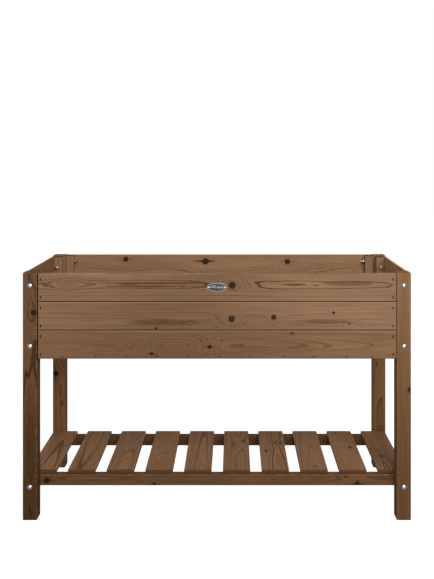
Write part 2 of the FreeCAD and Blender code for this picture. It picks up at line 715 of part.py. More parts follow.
def toward(x, y, z):
    """The turn that points a fastener's z axis along a direction."""
    return FreeCAD.Rotation(FreeCAD.Vector(0, 0, 1), FreeCAD.Vector(x, y, z))


# Each corner of the planter: the signs of its x and y.
CORNERS = ((-1, -1), (1, -1), (1, 1), (-1, 1))


def signed(sign, text):
    """A formula or its negative."""
    return text if sign > 0 else "-(%s)" % text


def side_spots(heights, inward):
    """Places on bolts that run front to back, at a distance in from the leg face."""
    return [(signed(x, "overall_length / 2 - bolt_inset"),
             signed(y, "overall_depth / 2 - (%s)" % inward), height, toward(0, -y, 0))
            for x, y in CORNERS for height in heights]


def long_spots(heights, inward):
    """Places on bolts that run along the planter, at a distance in from the leg face."""
    return [(signed(x, "overall_length / 2 - (%s)" % inward),
             signed(y, "overall_depth / 2 - bolt_inset"), height, toward(-x, 0, 0))
            for x, y in CORNERS for height in heights]


short_bolt = carriage_bolt("short_carriage_bolt", "short_bolt")
long_bolt = carriage_bolt("long_carriage_bolt", "long_bolt")
add_group("side_panel_bolts", [(short_bolt,) + spot for spot in side_spots(SIDE_HEIGHTS, "0")])
add_group("long_panel_bolts", [(long_bolt,) + spot for spot in long_spots(LONG_BOLTS, "0")])
add_group("shelf_rail_bolts", [(short_bolt,) + spot for spot in side_spots(("shelf_bolt",), "0")])

BATTEN_FACE = "leg_width + batten_width"
RAIL_FACE = "leg_width + rail_deep"
for node, pattern, lift in (("washers", flat_washer("washer"), "0"),
                            ("hex_nuts", hexagon_nut("nut"), "washer_thick")):
    spots = side_spots(SIDE_HEIGHTS, "%s + %s" % (BATTEN_FACE, lift))
    spots += long_spots(LONG_BOLTS, "%s + %s" % (BATTEN_FACE, lift))
    spots += side_spots(("shelf_bolt",), "%s + %s" % (RAIL_FACE, lift))
    add_group(node, [(pattern,) + spot for spot in spots])


# ---------------------------------------------------------------- staples and nails

UPRIGHT = FreeCAD.Rotation(FreeCAD.Vector(0, 0, 1), 90)
staple = staple_pattern("staple")
board_staples = []
for level in range(len(BOARD_ROWS)):
    for height in ("staple_low", "staple_high"):
        up = "%s + %d * board_cover + %s" % (PANEL_BOTTOM, level, height)
        for x, y in CORNERS:
            from_leg = "%s - panel_end_gap - staple_inset"
            board_staples.append((staple, signed(x, from_leg % INNER_X),
                                  signed(y, LONG_FACE + " - staple_sunk"), up,
                                  toward(0, -y, 0).multiply(UPRIGHT)))
            board_staples.append((staple, signed(x, SIDE_FACE + " - staple_sunk"),
                                  signed(y, from_leg % INNER_Y), up, toward(-x, 0, 0)))
add_group("board_staples", board_staples)

ledger_staples = []
for place in ledger_staple_places():
    for y in (-1, 1):
        ledger_staples.append((staple, signed(-y, "%s - overall_length / 2" % place),
                               signed(y, LONG_FACE + " - staple_sunk"),
                               "%s + ledger_staple_up" % PANEL_BOTTOM, toward(0, -y, 0)))
add_group("ledger_staples", ledger_staples)

nail = headed_pin("nail", "nail_head_wide", "nail_head_tall", "nail_thick", "nail_long")
slat_nails = []
for slat in range(SLATS):
    for edge in ("nail_edge", "slat_wide - nail_edge"):
        across = "-overall_length / 2 + slat_inset + %d * %s + %s" % (slat, SLAT_PITCH, edge)
        for y in (-1, 1):
            slat_nails.append((nail, across, signed(y, "%s / 2 - nail_end" % SLAT_LONG),
                               "rail_bottom + rail_tall + slat_thick - nail_sunk",
                               toward(0, 0, -1)))
add_group("slat_nails", slat_nails)


# ---------------------------------------------------------------- name plate

def add_badge():
    """A thin oval plate, without any lettering, on the top front board."""
    oval = add_shape("Part::Ellipse", "badge_oval", MajorRadius="badge_wide / 2",
                     MinorRadius="badge_tall / 2")
    plate = doc.addObject("Part::Extrusion", "badge_plate")
    plate.Base = oval
    plate.Dir = FreeCAD.Vector(0, 0, 1)
    plate.DirMode = "Custom"
    plate.Solid = True
    bind(plate, LengthFwd="badge_thick")
    drills = []
    for side in ("", "-"):
        drill = add_shape("Part::Cylinder", "badge_drill", Radius="badge_pin_hole / 2",
                          Height="badge_thick")
        set_place(drill, side + "badge_pin_offset", "0", "0")
        drills.append(drill)
    badge = doc.addObject("Part::Cut", "badge")
    badge.Label = "badge"
    badge.Base = plate
    badge.Tool = join("badge_drills", drills)
    set_place(badge, "0", "-" + LONG_FACE, "badge_centre_up",
              FreeCAD.Rotation(FreeCAD.Vector(1, 0, 0), 90))
    sub_parts.append(badge)


add_badge()
pin = headed_pin("pin", "badge_pin_head_wide", "badge_pin_head_tall", "badge_pin_thick",
                 "badge_pin_head_tall + badge_pin_long")
add_group("badge_pins", [(pin, side + "badge_pin_offset",
                          "-(%s + badge_thick + badge_pin_head_tall)" % LONG_FACE,
                          "badge_centre_up", toward(0, 1, 0)) for side in ("", "-")])


# ---------------------------------------------------------------- checks and files

doc.recompute()
for item in doc.Objects:
    if "Invalid" in item.State or "Error" in item.State:
        raise RuntimeError("%s is %s" % (item.Name, item.State))
for piece in sub_parts:
    if piece.Shape.isNull() or not piece.Shape.isValid() or not piece.Shape.Solids:
        raise RuntimeError("%s has no valid solid" % piece.Label)

os.makedirs("parts", exist_ok=True)
for piece in sub_parts:
    piece.Shape.exportStep("parts/%s.step" % piece.Label)
print("%d sub-parts written" % len(sub_parts))
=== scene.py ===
import math
import random

import bmesh
import bpy
from mathutils import Euler, Matrix, Vector


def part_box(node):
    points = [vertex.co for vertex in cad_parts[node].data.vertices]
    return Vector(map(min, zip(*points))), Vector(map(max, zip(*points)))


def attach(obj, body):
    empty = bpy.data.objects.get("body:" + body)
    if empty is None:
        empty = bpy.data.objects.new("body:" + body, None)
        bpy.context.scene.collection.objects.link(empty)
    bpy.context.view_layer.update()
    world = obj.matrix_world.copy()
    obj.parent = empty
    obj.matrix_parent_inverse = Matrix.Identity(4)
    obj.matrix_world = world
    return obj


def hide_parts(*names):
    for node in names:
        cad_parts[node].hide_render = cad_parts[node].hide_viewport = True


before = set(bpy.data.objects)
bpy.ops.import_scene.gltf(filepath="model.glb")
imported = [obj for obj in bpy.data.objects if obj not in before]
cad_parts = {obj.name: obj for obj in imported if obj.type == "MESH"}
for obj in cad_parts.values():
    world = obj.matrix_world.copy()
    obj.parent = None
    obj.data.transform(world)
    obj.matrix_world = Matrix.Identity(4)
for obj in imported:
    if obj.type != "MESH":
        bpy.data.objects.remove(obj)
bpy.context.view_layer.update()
scene = bpy.context.scene


# ---------------------------------------------------------------- legs
# Four square pine posts, planed, with rounded long edges and a sawn top. They are
# dipped in brown wood stain, which the end grain takes up darker. Everything else
# is bolted to them.

def wire(tree, socket, value):
    """Link a value to a socket, or set it there if it is a plain one."""
    if isinstance(value, bpy.types.NodeSocket):
        tree.links.new(value, socket)
    else:
        socket.default_value = value


def add(tree, kind, inputs=(), **settings):
    """A node with its settings made and its inputs wired by name or number."""
    node = tree.nodes.new(kind)
    for name, value in settings.items():
        setattr(node, name, value)
    for name, value in dict(inputs).items():
        wire(tree, node.inputs[name], value)
    return node


def calc(tree, operation, *values):
    """The result of a Math node."""
    return add(tree, "ShaderNodeMath", enumerate(values), operation=operation).outputs[0]


def vector_calc(tree, operation, first, second):
    """The result of a Vector Math node, which scales when its operation is SCALE."""
    inputs = {0: first, ("Scale" if operation == "SCALE" else 1): second}
    return add(tree, "ShaderNodeVectorMath", inputs, operation=operation).outputs[0]


def split(tree, vector):
    """The X, Y and Z of a vector, by name."""
    return add(tree, "ShaderNodeSeparateXYZ", {0: vector}).outputs


def length_of(tree, vector):
    """How long a vector is."""
    return add(tree, "ShaderNodeVectorMath", {0: vector}, operation="LENGTH").outputs["Value"]


def about_zero(tree, value, spread):
    """A value from 0 to 1, spread as wide as asked on both sides of 0."""
    return calc(tree, "MULTIPLY_ADD", value, spread, -spread / 2)


def bell(tree, value, steep):
    """1 where a value is 0, and falling away on both sides of it."""
    square = calc(tree, "MULTIPLY", value, value)
    return calc(tree, "EXPONENT", calc(tree, "MULTIPLY", square, -steep))


def ramp(tree, value, low, high, start=0.0, end=1.0):
    """A smooth step of a value from low to high."""
    inputs = {"Value": value, "From Min": low, "From Max": high, "To Min": start, "To Max": end}
    node = add(tree, "ShaderNodeMapRange", inputs, interpolation_type="SMOOTHSTEP")
    return node.outputs["Result"]


def noise(tree, vector, stretch, seed, detail=2.0):
    """Soft noise on a vector stretched by three scales, as (value, colour)."""
    moved = vector_calc(tree, "ADD", vector_calc(tree, "MULTIPLY", vector, stretch), seed)
    node = add(tree, "ShaderNodeTexNoise", {"Vector": moved, "Scale": 1.0, "Detail": detail})
    return node.outputs["Fac"], node.outputs["Color"]


def blend_colour(tree, factor, first, second, kind="MIX"):
    """Two colours mixed by a factor."""
    node = add(tree, "ShaderNodeMix", data_type="RGBA", blend_type=kind)
    for number, value in ((0, factor), (6, first), (7, second)):
        wire(tree, node.inputs[number], value)
    return node.outputs[2]


def new_group(name, inputs, outputs):
    """A shader node group, with its inputs and outputs by name."""
    group = bpy.data.node_groups.new(name, "ShaderNodeTree")
    kinds = {"value": "NodeSocketFloat", "vector": "NodeSocketVector", "colour": "NodeSocketColor"}
    for label, kind in inputs:
        group.interface.new_socket(label, in_out="INPUT", socket_type=kinds[kind])
    for label, kind in outputs:
        group.interface.new_socket(label, in_out="OUTPUT", socket_type=kinds[kind])
    given = group.nodes.new("NodeGroupInput").outputs
    result = group.nodes.new("NodeGroupOutput").inputs
    return group, given, result


# How fast a knot's push on the grain around it fades, and how much it moves the grain.
KNOT_FADE = 1.15
KNOT_PUSH = 0.55


def make_knot_group():
    """A branch knot, which thins with depth: it pushes the grain aside, lifts the rings
    and darkens its core."""
    group, given, result = new_group(
        "pine knot",
        [("Vector", "vector"), ("Lift", "value"), ("Dark", "value"), ("Spot", "vector"),
         ("Radius", "value"), ("Deep", "value"), ("Reach", "vector"), ("Rise", "value"),
         ("Streak", "value"), ("Seed", "vector")],
        [("Vector", "vector"), ("Lift", "value"), ("Dark", "value")])
    offset = vector_calc(group, "SUBTRACT", given["Vector"], given["Spot"])
    flat = vector_calc(group, "MULTIPLY", offset, (1, 1, 0))
    ragged = noise(group, offset, (40, 110, 0), given["Seed"])[1]
    ragged = vector_calc(group, "SUBTRACT", ragged, (0.5, 0.5, 0.5))
    far = vector_calc(group, "DIVIDE", flat, given["Reach"])
    far = vector_calc(group, "ADD", far, vector_calc(group, "SCALE", ragged, 0.9))
    square = add(group, "ShaderNodeVectorMath", {0: far, 1: far}, operation="DOT_PRODUCT")
    distance = calc(group, "SQRT", calc(group, "ADD", square.outputs["Value"], 0.12))
    near = calc(group, "EXPONENT", calc(group, "MULTIPLY", distance, -KNOT_FADE))
    aside = vector_calc(group, "MULTIPLY", flat, (0, 1, 0))
    push = vector_calc(group, "SCALE", aside, calc(group, "MULTIPLY", near, KNOT_PUSH))
    wire(group, result["Vector"], vector_calc(group, "SUBTRACT", given["Vector"], push))
    rise = calc(group, "MULTIPLY", near, given["Rise"])
    wire(group, result["Lift"], calc(group, "ADD", given["Lift"], rise))

    # The knot's own wood has rings and a rim of bark, a halo round it, and a streak of
    # pitch that runs out of it along the grain.
    uneven = noise(group, offset, (260, 260, 60), given["Seed"])[0]
    depth = calc(group, "ABSOLUTE", split(group, offset)["Z"])
    taper = ramp(group, depth, 0.0, given["Deep"], 1.0, 0.01)
    thick = calc(group, "MULTIPLY", given["Radius"], taper)
    reach = calc(group, "DIVIDE", length_of(group, flat), thick)
    reach = calc(group, "ADD", reach, about_zero(group, uneven, 0.7))
    core = ramp(group, reach, 0.90, 1.06, 1.0, 0.0)
    rings = calc(group, "SINE", calc(group, "MULTIPLY", reach, 15.0))
    bark = calc(group, "MULTIPLY", ramp(group, reach, 0.62, 0.80), 0.08)
    shade = calc(group, "ADD", calc(group, "MULTIPLY_ADD", rings, 0.05, 0.90), bark)
    halo = calc(group, "MULTIPLY", ramp(group, reach, 1.0, 1.8, 1.0, 0.0), 0.22)
    across = vector_calc(group, "MULTIPLY", flat, (0.22, 2.4, 0))
    spread = calc(group, "DIVIDE", length_of(group, across), thick)
    crack = calc(group, "MULTIPLY", ramp(group, spread, 0.3, 1.1, 1.0, 0.0), given["Streak"])
    mark = calc(group, "MAXIMUM", calc(group, "MULTIPLY", core, shade), halo)
    mark = calc(group, "MAXIMUM", mark, crack)
    wire(group, result["Dark"], calc(group, "MAXIMUM", given["Dark"], mark))
    return group


def make_mark_group():
    """Dark marks in a row, a step apart along the grain: staple slots, streaks of pitch, and the
    painted shade in a joint.
    """
    group, given, result = new_group(
        "dark mark",
        [("Vector", "vector"), ("Dark", "value"), ("Spot", "vector"), ("Step", "vector"),
         ("Half", "vector"), ("Strength", "value"), ("Seed", "vector")],
        [("Dark", "value")])
    offset = vector_calc(group, "SUBTRACT", given["Vector"], given["Spot"])
    half_step = vector_calc(group, "SCALE", given["Step"], 0.5)
    back_step = vector_calc(group, "SCALE", given["Step"], -0.5)
    offset = add(group, "ShaderNodeVectorMath", {0: offset, 1: half_step, 2: back_step},
                 operation="WRAP").outputs[0]
    away = length_of(group, vector_calc(group, "DIVIDE", offset, given["Half"]))
    uneven = noise(group, offset, (60, 420, 60), given["Seed"])[0]
    away = calc(group, "ADD", away, about_zero(group, uneven, 1.0))
    mark = calc(group, "MULTIPLY", ramp(group, away, 0.70, 1.30, 1.0, 0.0), given["Strength"])
    wire(group, result["Dark"], calc(group, "MAXIMUM", given["Dark"], mark))
    return group


# The colours of the painted highlight along an edge, of a sawn end, of the painted highlight
# on a V joint's lip and the painted shade in the joint, and of a knot.
EDGE_PAINTED_HIGHLIGHT = (0.42, 0.27, 0.165, 1)
SAWN_END = (0.050, 0.027, 0.014, 1)
JOINT_PAINTED_HIGHLIGHT = (0.50, 0.33, 0.21, 1)
JOINT_PAINTED_SHADE = (0.014, 0.007, 0.003, 1)
KNOT_DARK = (0.014, 0.006, 0.0025, 1)
# How much red, green and blue the band of soaked stain and painted shade takes away, as powers of
# what is left.
SOAK_AND_SHADE_POWERS = (1.0, 1.08, 1.35)


def make_stained_pine_group():
    """Brown stained pine cut from a trunk whose pith runs along the local x axis."""
    group, given, result = new_group(
        "stained pine",
        [("Vector", "vector"), ("Straight", "vector"), ("Lift", "value"), ("Dark", "value"),
         ("Patch", "value"), ("Pith", "vector"), ("Tilt", "vector"), ("Wander", "value"),
         ("Ring", "value"), ("Seed", "vector"), ("Half", "vector"), ("Early", "colour"),
         ("Late", "colour"), ("Depth", "value"), ("Phase", "value"), ("Bold", "value"),
         ("Groove", "value"), ("Soak And Shade", "vector"), ("End", "value")],
        [("Color", "colour"), ("Roughness", "value"), ("Height", "value")])
    # The rings: how far a point is from a pith that leans and wanders, in years' growth.
    vector = given["Vector"]
    along = split(group, vector)["X"]
    sway = noise(group, vector, (2.6, 0, 0), given["Seed"], 1.5)[1]
    sway = vector_calc(group, "SUBTRACT", sway, (0.5, 0.5, 0.5))
    sway = vector_calc(group, "SCALE", sway, given["Wander"])
    lean = vector_calc(group, "SCALE", given["Tilt"], along)
    pith = vector_calc(group, "ADD", vector_calc(group, "ADD", given["Pith"], lean), sway)
    spoke = vector_calc(group, "SUBTRACT", vector, pith)
    spoke = vector_calc(group, "MULTIPLY", spoke, (0, 1, 1))
    radius = calc(group, "ADD", length_of(group, spoke), given["Lift"])
    wobble = noise(group, vector, (9, 60, 60), given["Seed"], 3.0)[0]
    radius = calc(group, "ADD", radius, about_zero(group, wobble, 0.0030))
    years = calc(group, "ADD", calc(group, "DIVIDE", radius, given["Ring"]), given["Phase"])
    weather = add(group, "ShaderNodeTexNoise", {"W": calc(group, "MULTIPLY", years, 0.45)},
                  noise_dimensions="1D").outputs["Fac"]
    years = calc(group, "ADD", years, calc(group, "MULTIPLY", weather, 1.2))
    season = calc(group, "FRACT", years)
    autumn = calc(group, "MULTIPLY", ramp(group, season, 0.50, 0.88),
                  ramp(group, season, 0.94, 1.0, 1.0, 0.0))
    haze = calc(group, "MULTIPLY", season, 0.16)
    year = calc(group, "ADD", calc(group, "FLOOR", years), split(group, given["Seed"])["X"])
    year = add(group, "ShaderNodeTexWhiteNoise", {"W": year},
               noise_dimensions="1D").outputs["Value"]
    strength = ramp(group, year, 0.1, 0.95, 0.16, 0.80)
    beside = calc(group, "DIVIDE", calc(group, "SUBTRACT", radius, given["Bold"]), given["Ring"])
    strength = calc(group, "ADD", strength, bell(group, beside, 2.0))
    late = calc(group, "MAXIMUM", calc(group, "MULTIPLY", autumn, strength), haze)

    # Dark late wood on pale early wood, then fibres, streaks, and a darker band: soaked stain on
    # the boards, painted shade at the posts' feet.
    broad = noise(group, vector, (3.0, 22, 22), given["Seed"], 3.0)[0]
    fibre = noise(group, vector, (14, 520, 520), given["Seed"], 3.0)[0]
    streak = noise(group, vector, (5, 150, 150), given["Seed"], 3.0)[0]
    late = calc(group, "MULTIPLY", late, ramp(group, broad, 0.3, 0.7, 0.65, 1.1))
    late = calc(group, "MULTIPLY", late, given["Depth"])
    colour = blend_colour(group, late, given["Early"], given["Late"])
    colour = blend_colour(group, given["Patch"], colour, given["Late"])
    tone = ramp(group, broad, 0.25, 0.75, 0.88, 1.10)
    tone = calc(group, "ADD", tone, about_zero(group, fibre, 0.34))
    tone = calc(group, "ADD", tone, about_zero(group, streak, 0.36))
    soak_and_shade = split(group, given["Soak And Shade"])
    away = calc(group, "DIVIDE", calc(group, "SUBTRACT", along, soak_and_shade["X"]), soak_and_shade["Y"])
    soaked_and_shaded = calc(group, "MULTIPLY", bell(group, away, 1.0), soak_and_shade["Z"])
    clear = calc(group, "SUBTRACT", 1.0, soaked_and_shaded)
    red, green, blue = (calc(group, "MULTIPLY", tone, calc(group, "POWER", clear, power))
                        for power in SOAK_AND_SHADE_POWERS)
    tones = add(group, "ShaderNodeCombineXYZ", {0: red, 1: green, 2: blue}).outputs[0]
    colour = blend_colour(group, 1.0, colour, tones, "MULTIPLY")

    # How near a point of the surface is to the nearest edge of its timber, and
    # to an end: the second smallest of its distances to the three pairs of faces.
    straight = given["Straight"]
    size = add(group, "ShaderNodeVectorMath", {0: straight}, operation="ABSOLUTE").outputs[0]
    room = vector_calc(group, "SUBTRACT", given["Half"], size)
    parts = split(group, room)
    nearer = calc(group, "MINIMUM", parts["Y"], parts["Z"])
    farther = calc(group, "MAXIMUM", parts["Y"], parts["Z"])
    edge = calc(group, "MAXIMUM", nearer, calc(group, "MINIMUM", farther, parts["X"]))
    edge_jitter = noise(group, straight, (70, 160, 160), given["Seed"], 3.0)[0]
    edge = calc(group, "ADD", edge, about_zero(group, edge_jitter, 0.006))
    # Within a millimetre or two of an edge the colour is lifted towards pale brown: a painted
    # highlight where a rounded edge catches the light.
    painted_edge_highlight = ramp(group, edge, 0.0, 0.0016, 0.30, 0.0)
    colour = blend_colour(group, painted_edge_highlight, colour, EDGE_PAINTED_HIGHLIGHT)
    end = calc(group, "MULTIPLY", ramp(group, parts["X"], 0.0004, 0.0024, 1.0, 0.0), given["End"])
    colour = blend_colour(group, end, colour, SAWN_END)
    # In the V joint the foot of the lower board's slope gets a painted highlight, and the rest
    # of it and the edge of the board above get painted shade, as does any deeper recess, such
    # as a board's end faces and its staple slots.
    upper = ramp(group, split(group, straight)["Y"], -0.005, 0.005)
    lower = calc(group, "SUBTRACT", 1.0, upper)
    below = ramp(group, parts["Y"], 0.0040, 0.0050)
    painted_lip_highlight = calc(group, "MULTIPLY", calc(group, "MULTIPLY", upper, below),
               ramp(group, parts["Z"], 0.0002, 0.0005))
    painted_lip_highlight = calc(group, "MULTIPLY", painted_lip_highlight, given["Groove"])
    colour = blend_colour(group, calc(group, "MULTIPLY", painted_lip_highlight, 0.65), colour, JOINT_PAINTED_HIGHLIGHT)
    sunk = calc(group, "SUBTRACT", parts["Z"], calc(group, "MULTIPLY", upper, 0.0006))
    sunk = calc(group, "MULTIPLY", ramp(group, sunk, 0.0002, 0.0007),
                calc(group, "MAXIMUM", lower, below))
    painted_brink_shade = calc(group, "MULTIPLY", ramp(group, parts["Y"], 0.0010, 0.0030, 0.7, 0.0), lower)
    sunk = calc(group, "MULTIPLY", calc(group, "MAXIMUM", sunk, painted_brink_shade), given["Groove"])
    colour = blend_colour(group, sunk, colour, JOINT_PAINTED_SHADE)
    colour = blend_colour(group, given["Dark"], colour, KNOT_DARK)
    wire(group, result["Color"], colour)

    # Sawn ends are the roughest, and late wood is smoother and stands a little proud.
    rough = calc(group, "MULTIPLY_ADD", fibre, 0.22, 0.46)
    rough = calc(group, "ADD", rough, calc(group, "MULTIPLY", late, -0.10))
    rough = calc(group, "ADD", rough, calc(group, "MULTIPLY", end, 0.25))
    wire(group, result["Roughness"], rough)
    height = calc(group, "MULTIPLY_ADD", fibre, 0.5, calc(group, "MULTIPLY", late, 0.5))
    height = calc(group, "SUBTRACT", height, calc(group, "MULTIPLY", given["Dark"], 0.5))
    wire(group, result["Height"], height)
    return group


KNOT_GROUP = make_knot_group()
MARK_GROUP = make_mark_group()
PINE_GROUP = make_stained_pine_group()

# How a timber lies: the turn that takes the wood's own axes (x along the grain,
# y across its face, z out of it) to the planter's.
RIGHT_ANGLE = math.radians(90)
LIES_ALONG = (RIGHT_ANGLE, 0, 0)
LIES_BESIDE = (RIGHT_ANGLE, 0, RIGHT_ANGLE)
LIES_ACROSS = (0, 0, RIGHT_ANGLE)
STANDS = (0, -RIGHT_ANGLE, -RIGHT_ANGLE)


def linear(red, green, blue):
    """A colour swatch, 0 to 255, as light."""
    def channel(value):
        value /= 255
        return value / 12.92 if value <= 0.04045 else ((value + 0.055) / 1.055) ** 2.4
    return (channel(red), channel(green), channel(blue), 1)


# How deep a knot goes before it has thinned away, how deep the dark of a mark goes, how
# dark a mark is, and a step that is longer than any timber.
KNOT_DEEP = 0.030
MARK_DEEP = 0.003
MARK_DARK = 0.97
FAR = 9


def pine(name, node, lie, early, late, seed, pith=(0, 0, -0.035), tilt=(0, 0, 0), wander=0.03,
         ring=0.0034, depth=1.0, phase=0.0, bold=9.0, groove=0.0, soak_and_shade=(0, 1, 0), end=0.78,
         knots=(), figures=(), patches=(), marks=()):
    """The stained pine of one timber, in the wood's own axes from the timber's middle.

    A knot is its place along and across, its radius, and the strength of its streak; a
    figure is a place where the rings rise: along, across, its reach both ways, and how
    far they rise. A patch of late wood is its place, half its size both ways, and its
    strength; a row of marks is the place of one, the step to the next, and half a mark
    both ways. A darker band, of soaked stain on a board and of painted shade at a post's
    foot, is where it lies along, its reach, and its strength.
    """
    low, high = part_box(node)
    half = (high - low) / 2
    half_local = tuple(abs(side) for side in Euler(lie).to_matrix().transposed() @ half)
    material = bpy.data.materials.new(name)
    material.use_nodes = True
    tree = material.node_tree
    shader = tree.nodes["Principled BSDF"]
    coords = tree.nodes.new("ShaderNodeTexCoord").outputs["Object"]
    straight = add(tree, "ShaderNodeMapping",
                   {"Vector": coords, "Location": (low + high) / 2, "Rotation": lie},
                   vector_type="TEXTURE").outputs[0]
    seeds = (seed * 7.31, seed * 3.17, seed * 5.71)
    vector = straight
    lift = 0.0
    dark = 0.0
    patch = 0.0
    # The face that shows is the one its z axis comes out of, or a post's other one.
    face = -half_local[2] if lie == STANDS else half_local[2]
    # A knot swells the grain over a reach that grows with its radius.
    swells = [(x, y, size, 0.006 + 1.7 * size, 0.003 + 1.1 * size, 0.004 + 1.3 * size, streak)
              for x, y, size, streak in knots]
    swells += [(x, y, 1e-5, along, across, rise, 0) for x, y, along, across, rise in figures]
    for x, y, size, along, across, rise, streak in swells:
        values = {"Vector": vector, "Lift": lift, "Dark": dark, "Spot": (x, y, face),
                  "Radius": size, "Deep": KNOT_DEEP, "Reach": (along, across, 1),
                  "Rise": rise, "Streak": streak,
                  "Seed": (seeds[0] + x * 40, seeds[1], seeds[2])}
        knot = add(tree, "ShaderNodeGroup", values, node_tree=KNOT_GROUP).outputs
        vector, lift, dark = knot["Vector"], knot["Lift"], knot["Dark"]

    def add_marks(under, x, y, step, along, across, strength):
        """A mask with a row of marks laid over the one under it."""
        values = {"Vector": straight, "Dark": under, "Spot": (x, y, half_local[2]),
                  "Step": (step, FAR, FAR), "Half": (along, across, MARK_DEEP),
                  "Strength": strength, "Seed": (seeds[0] + y * 90, seeds[1], x * 20)}
        return add(tree, "ShaderNodeGroup", values, node_tree=MARK_GROUP).outputs["Dark"]

    for row in marks:
        dark = add_marks(dark, *row, MARK_DARK)
    for x, y, *size_and_strength in patches:
        patch = add_marks(patch, x, y, FAR, *size_and_strength)
    values = {"Vector": vector, "Straight": straight, "Lift": lift, "Dark": dark,
              "Patch": patch, "Pith": pith, "Tilt": tilt, "Wander": wander, "Ring": ring,
              "Seed": seeds, "Half": half_local, "Early": early, "Late": late,
              "Depth": depth, "Phase": phase, "Bold": bold, "Groove": groove,
              "Soak And Shade": soak_and_shade, "End": end}
    wood = add(tree, "ShaderNodeGroup", values, node_tree=PINE_GROUP)
    bump = add(tree, "ShaderNodeBump", {"Height": wood.outputs["Height"], "Distance": 0.0005,
                                        "Strength": 0.6})
    wire(tree, shader.inputs["Base Color"], wood.outputs["Color"])
    wire(tree, shader.inputs["Roughness"], wood.outputs["Roughness"])
    wire(tree, shader.inputs["Normal"], bump.outputs[0])
    shader.inputs["Specular IOR Level"].default_value = 0.06
    return material


def coat(node, material):
    """Give a CAD node one material all over."""
    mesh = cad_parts[node].data
    mesh.materials.clear()
    mesh.materials.append(material)


# Each leg: its lighter wood, its darker wood, the pith's place, how much painted shade
# darkens its foot, its knots and the figure of its grain.
LEGS = {
    "leg_front_left": (linear(110, 78, 51), linear(64, 41, 22), (0.004, 0.034), 0.54,
                       [(0.258, 0.012, 0.009, 0.6)],
                       [(0.292, 0.004, 0.050, 0.011, 0.012), (0.150, -0.004, 0.090, 0.010, 0.006)]),
    "leg_front_right": (linear(127, 94, 64), linear(80, 54, 31), (-0.060, 0.010), 0.42,
                        [(0.021, 0.021, 0.009, 0)], [(0.010, 0.024, 0.060, 0.022, 0.030)]),
    # The back legs' wood is painted paler than the front legs' as painted light, making up for the
    # shade the planter's box casts on them.
    "leg_back_left": (linear(140, 102, 66), linear(86, 57, 33), (0.012, 0.034), 0.2,
                      [(-0.043, -0.012, 0.0095, 0.5)], []),
    "leg_back_right": (linear(138, 102, 67), linear(86, 58, 34), (0.002, 0.045), 0.2,
                       [(-0.010, -0.010, 0.0030, 0.75)], []),
}
for number, (node, (early, late, middle, soak_and_shade, knots, figures)) in enumerate(LEGS.items()):
    coat(node, pine("post pine " + node, node, STANDS, early, late, 1.7 + number,
                    pith=(0, *middle), tilt=(0, 0.006, 0.004), wander=0.016, ring=0.0028,
                    depth=1.15, soak_and_shade=(-0.379, 0.5, soak_and_shade), end=0.30, knots=knots, figures=figures))


# ---------------------------------------------------------------- panel boards
# Tongue and groove boards with a V joint, flat sawn, three to a panel. They are
# stapled to the corner battens, and their stain is a little lighter than the
# posts'. Knots and the swirls round them are where they fall in each board.

PANEL_EARLY = linear(143, 110, 81)
FRONT_EARLY = linear(131, 101, 76)
MIDDLE_EARLY = linear(131, 101, 77)
FOOT_EARLY = linear(125, 95, 69)
PANEL_LATE = linear(88, 59, 34)
MM = 0.001
FRONT_BOARDS = {
    "front_board_top": dict(
        early=FRONT_EARLY, pith=(0, 0.0082, -0.0228), wander=0.004, phase=0.35, bold=0.030,
        depth=0.9, soak_and_shade=(-0.02, 0.26, 0.26),
        knots=[(0.047, 0.0067, 0.0105, 0)],
        figures=[(0.047, 0.0067, 0.072, 0.017, 0.0066), (0.052, 0.0067, 0.022, 0.015, 0.020),
                 (-0.458, 0.0147, 0.022, 0.013, -0.020), (0.590, 0.0100, 0.050, 0.020, 0.012)],
        patches=[(0.403, 0.0127, 0.080, 0.0075, 0.72), (-0.190, 0.0130, 0.150, 0.0034, 0.85),
                 (-0.210, 0.0030, 0.130, 0.0032, 0.85)]),
    "front_board_middle": dict(
        early=MIDDLE_EARLY, pith=(0, -0.0214, -0.046), wander=0.008, ring=0.0030, depth=0.65,
        soak_and_shade=(-0.10, 0.30, 0.33),
        knots=[(-0.186, -0.0404, 0.0038, 0.5), (0.045, -0.0114, 0.0092, 0),
               (0.174, -0.0064, 0.0075, 0), (0.358, 0.0076, 0.0042, 0.3),
               (0.406, -0.0264, 0.0025, 0.3)],
        figures=[(-0.060, -0.0224, 0.080, 0.012, 0.009), (0.040, -0.0114, 0.030, 0.014, 0.010)],
        patches=[(-0.160, -0.0225, 0.110, 0.0100, 0.60), (0.335, -0.0200, 0.070, 0.0065, 0.60)]),
    "front_board_bottom": dict(
        early=FOOT_EARLY, pith=(0, -0.0060, -0.034), tilt=(0, 0.004, -0.030), wander=0.003,
        ring=0.0016, phase=0.4, depth=1.0,
        soak_and_shade=(-0.08, 0.40, 0.29),
        knots=[(-0.200, -0.0310, 0.0050, 0.8), (-0.022, -0.0100, 0.0060, 0.9),
               (0.230, 0.0320, 0.0034, 0.75)],
        figures=[(-0.205, -0.0040, 0.024, 0.018, 0.022), (-0.022, -0.0040, 0.026, 0.018, 0.024)],
        patches=[(0.110, -0.0120, 0.060, 0.0050, 0.30), (-0.350, -0.0060, 0.040, 0.0050, 0.30),
                 (0.250, -0.0100, 0.040, 0.0060, 0.30)]),
}
